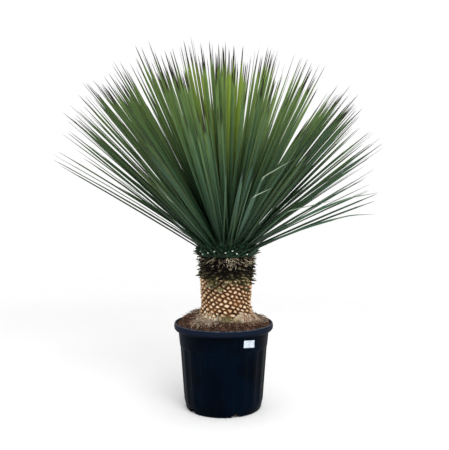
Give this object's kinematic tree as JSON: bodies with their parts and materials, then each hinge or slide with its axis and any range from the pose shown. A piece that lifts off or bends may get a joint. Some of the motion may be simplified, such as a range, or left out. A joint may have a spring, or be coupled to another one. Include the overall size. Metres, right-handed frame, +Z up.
{
  "type": "beaked yucca in a nursery pot",
  "caption": "Stout-stemmed yucca with a dense round head of long narrow stiff leaves, standing in soil in a black plastic nursery pot.",
  "frame": {"origin": "middle of the pot's flat underside", "axes": "+Z up the stem, -Y towards the viewer"},
  "size_m": [1.2251, 1.2343, 1.3782],
  "materials": {
    "black_plastic": "satin moulded plastic",
    "potting_soil": "rough peat and bark",
    "scarred_bark": "rough leaf scars",
    "dead_leaf_bases": "frayed dry fibre",
    "leaf_green": "waxy leaf",
    "white_label": "satin film"
  },
  "bodies": {
    "root": {"pot": "black_plastic", "soil": "potting_soil", "trunk": "scarred_bark", "leaf_base_collar": "dead_leaf_bases", "leaf_head": "leaf_green", "label": "white_label"}
  },
  "joints": []
}
